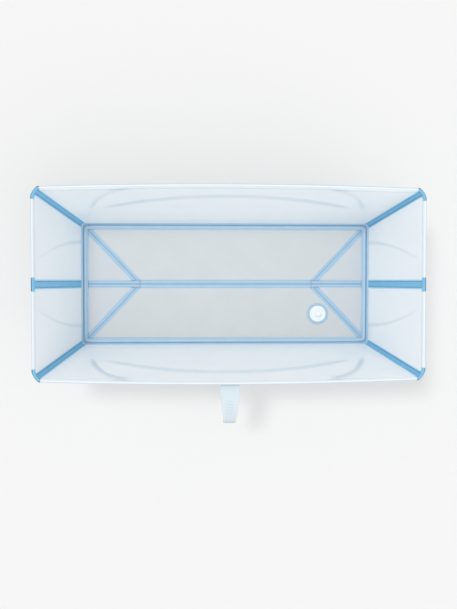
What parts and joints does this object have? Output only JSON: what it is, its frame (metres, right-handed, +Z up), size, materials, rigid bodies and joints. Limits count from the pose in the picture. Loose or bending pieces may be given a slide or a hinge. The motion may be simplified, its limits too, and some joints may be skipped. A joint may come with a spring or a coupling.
{
  "type": "foldable baby bathtub",
  "caption": "Foldable baby bathtub: translucent stiff wall and floor panels joined by soft rubber hinge strips, with a drain plug and a closure strap.",
  "frame": {"origin": "on the ground under the middle of the floor", "axes": "+X along the length to the right end, +Y across to the rear side away from the strap, +Z up"},
  "size_m": [0.8338, 0.52, 0.245],
  "materials": {
    "wall_plastic": "translucent pale blue polypropylene, smooth and glossy",
    "floor_plastic": "translucent pale grey-blue polypropylene with a fine anti-slip grain",
    "gusset_plastic": "translucent pale lavender-blue polypropylene with a fine anti-slip grain",
    "hinge_rubber": "soft sky blue thermoplastic rubber, satin",
    "drain_rubber": "soft sky blue rubber, satin",
    "strap_rubber": "pale milky blue soft rubber, satin",
    "fitting_plastic": "pale off-white plastic, smooth"
  },
  "bodies": {
    "front_wall": {"front_wall": "wall_plastic", "strap_keeper": "fitting_plastic", "corner_strip_left_front": "hinge_rubber", "corner_strip_right_front": "hinge_rubber"},
    "front_floor": {"floor_panel_front": "floor_plastic", "side_edge_strip_front": "hinge_rubber", "floor_centre_strip": "hinge_rubber", "drain_seat": "drain_rubber", "diagonal_strip_left_front": "hinge_rubber", "diagonal_strip_right_front": "hinge_rubber"},
    "rear_floor": {"floor_panel_rear": "floor_plastic", "side_edge_strip_rear": "hinge_rubber", "diagonal_strip_left_rear": "hinge_rubber", "diagonal_strip_right_rear": "hinge_rubber"},
    "rear_wall": {"rear_wall": "wall_plastic", "strap_catch": "fitting_plastic", "corner_strip_left_rear": "hinge_rubber", "corner_strip_right_rear": "hinge_rubber"},
    "end_left_front": {"end_panel_left_front": "wall_plastic", "end_edge_strip_left_front": "hinge_rubber", "crease_strip_left": "hinge_rubber"},
    "gusset_left_front": {"floor_gusset_left_front": "gusset_plastic", "end_centre_strip_left": "hinge_rubber"},
    "end_left_rear": {"end_panel_left_rear": "wall_plastic", "end_edge_strip_left_rear": "hinge_rubber"},
    "gusset_left_rear": {"floor_gusset_left_rear": "gusset_plastic"},
    "end_right_front": {"end_panel_right_front": "wall_plastic", "end_edge_strip_right_front": "hinge_rubber", "crease_strip_right": "hinge_rubber"},
    "gusset_right_front": {"floor_gusset_right_front": "gusset_plastic", "end_centre_strip_right": "hinge_rubber"},
    "end_right_rear": {"end_panel_right_rear": "wall_plastic", "end_edge_strip_right_rear": "hinge_rubber"},
    "gusset_right_rear": {"floor_gusset_right_rear": "gusset_plastic"},
    "strap": {"closure_strap": "strap_rubber"},
    "plug": {"drain_plug": "fitting_plastic", "plug_seal": "drain_rubber"}
  },
  "joints": [
    {"name": "front_fold", "type": "hinge", "parent": "front_wall", "child": "front_floor", "pos_m": [0, -0.1442, 0], "axis": [1, 0, 0], "range_deg": [0, 75.5], "deforming": ["side_edge_strip_front"]},
    {"name": "centre_fold", "type": "hinge", "parent": "front_floor", "child": "rear_floor", "pos_m": [0, 0, 0], "axis": [1, 0, 0], "range_deg": [-134.31, 0], "deforming": ["floor_centre_strip"]},
    {"name": "rear_fold", "type": "hinge", "parent": "rear_floor", "child": "rear_wall", "pos_m": [0, 0.1442, 0], "axis": [1, 0, 0], "range_deg": [0, 75.5], "deforming": ["side_edge_strip_rear"]},
    {"name": "corner_fold_left_front", "type": "hinge", "parent": "front_wall", "child": "end_left_front", "pos_m": [-0.3437, -0.1442, 0], "axis": [-0.2622, -0.2161, 0.9405], "range_deg": [-71.2, 0], "deforming": ["corner_strip_left_front", "end_edge_strip_left_front", "crease_strip_left"]},
    {"name": "gusset_fold_left_front", "type": "hinge", "parent": "front_floor", "child": "gusset_left_front", "pos_m": [-0.3437, -0.1442, 0.0013], "axis": [0.6899, 0.7239, 0], "range_deg": [-158.55, 0], "deforming": ["diagonal_strip_left_front", "end_centre_strip_left"]},
    {"name": "corner_fold_left_rear", "type": "hinge", "parent": "rear_wall", "child": "end_left_rear", "pos_m": [-0.3437, 0.1442, 0], "axis": [-0.2622, 0.2161, 0.9405], "range_deg": [0, 71.2], "deforming": ["corner_strip_left_rear", "end_edge_strip_left_rear"]},
    {"name": "gusset_fold_left_rear", "type": "hinge", "parent": "rear_floor", "child": "gusset_left_rear", "pos_m": [-0.3437, 0.1442, 0.0013], "axis": [0.6899, -0.7239, 0], "range_deg": [0, 158.55], "deforming": ["diagonal_strip_left_rear"]},
    {"name": "corner_fold_right_front", "type": "hinge", "parent": "front_wall", "child": "end_right_front", "pos_m": [0.3437, -0.1442, 0], "axis": [0.2622, -0.2161, 0.9405], "range_deg": [0, 71.2], "deforming": ["corner_strip_right_front", "end_edge_strip_right_front", "crease_strip_right"]},
    {"name": "gusset_fold_right_front", "type": "hinge", "parent": "front_floor", "child": "gusset_right_front", "pos_m": [0.3437, -0.1442, 0.0013], "axis": [-0.6899, 0.7239, 0], "range_deg": [0, 158.55], "deforming": ["diagonal_strip_right_front", "end_centre_strip_right"]},
    {"name": "corner_fold_right_rear", "type": "hinge", "parent": "rear_wall", "child": "end_right_rear", "pos_m": [0.3437, 0.1442, 0], "axis": [0.2622, 0.2161, 0.9405], "range_deg": [-71.2, 0], "deforming": ["corner_strip_right_rear", "end_edge_strip_right_rear"]},
    {"name": "gusset_fold_right_rear", "type": "hinge", "parent": "rear_floor", "child": "gusset_right_rear", "pos_m": [0.3437, 0.1442, 0.0013], "axis": [-0.6899, -0.7239, 0], "range_deg": [-158.55, 0], "deforming": ["diagonal_strip_right_rear"]},
    {"name": "strap_swing", "type": "hinge", "parent": "front_wall", "child": "strap", "pos_m": [0, -0.21055, 0.22311], "axis": [-1, 0, 0], "range_deg": [-45, 60], "stiffness_Nm_per_rad": 0.5},
    {"name": "plug_lift", "type": "slide", "parent": "front_floor", "child": "plug", "axis": [0, 0, 1], "range_m": [0, 0.012]}
  ],
  "couplings": [
    {"joint": "centre_fold", "follows": "front_fold", "ratio": -1.779},
    {"joint": "rear_fold", "follows": "front_fold", "ratio": 1},
    {"joint": "corner_fold_left_front", "follows": "front_fold", "ratio": -0.943},
    {"joint": "gusset_fold_left_front", "follows": "front_fold", "ratio": -2.1},
    {"joint": "corner_fold_left_rear", "follows": "front_fold", "ratio": 0.943},
    {"joint": "gusset_fold_left_rear", "follows": "front_fold", "ratio": 2.1},
    {"joint": "corner_fold_right_front", "follows": "front_fold", "ratio": 0.943},
    {"joint": "gusset_fold_right_front", "follows": "front_fold", "ratio": 2.1},
    {"joint": "corner_fold_right_rear", "follows": "front_fold", "ratio": -0.943},
    {"joint": "gusset_fold_right_rear", "follows": "front_fold", "ratio": -2.1}
  ]
}
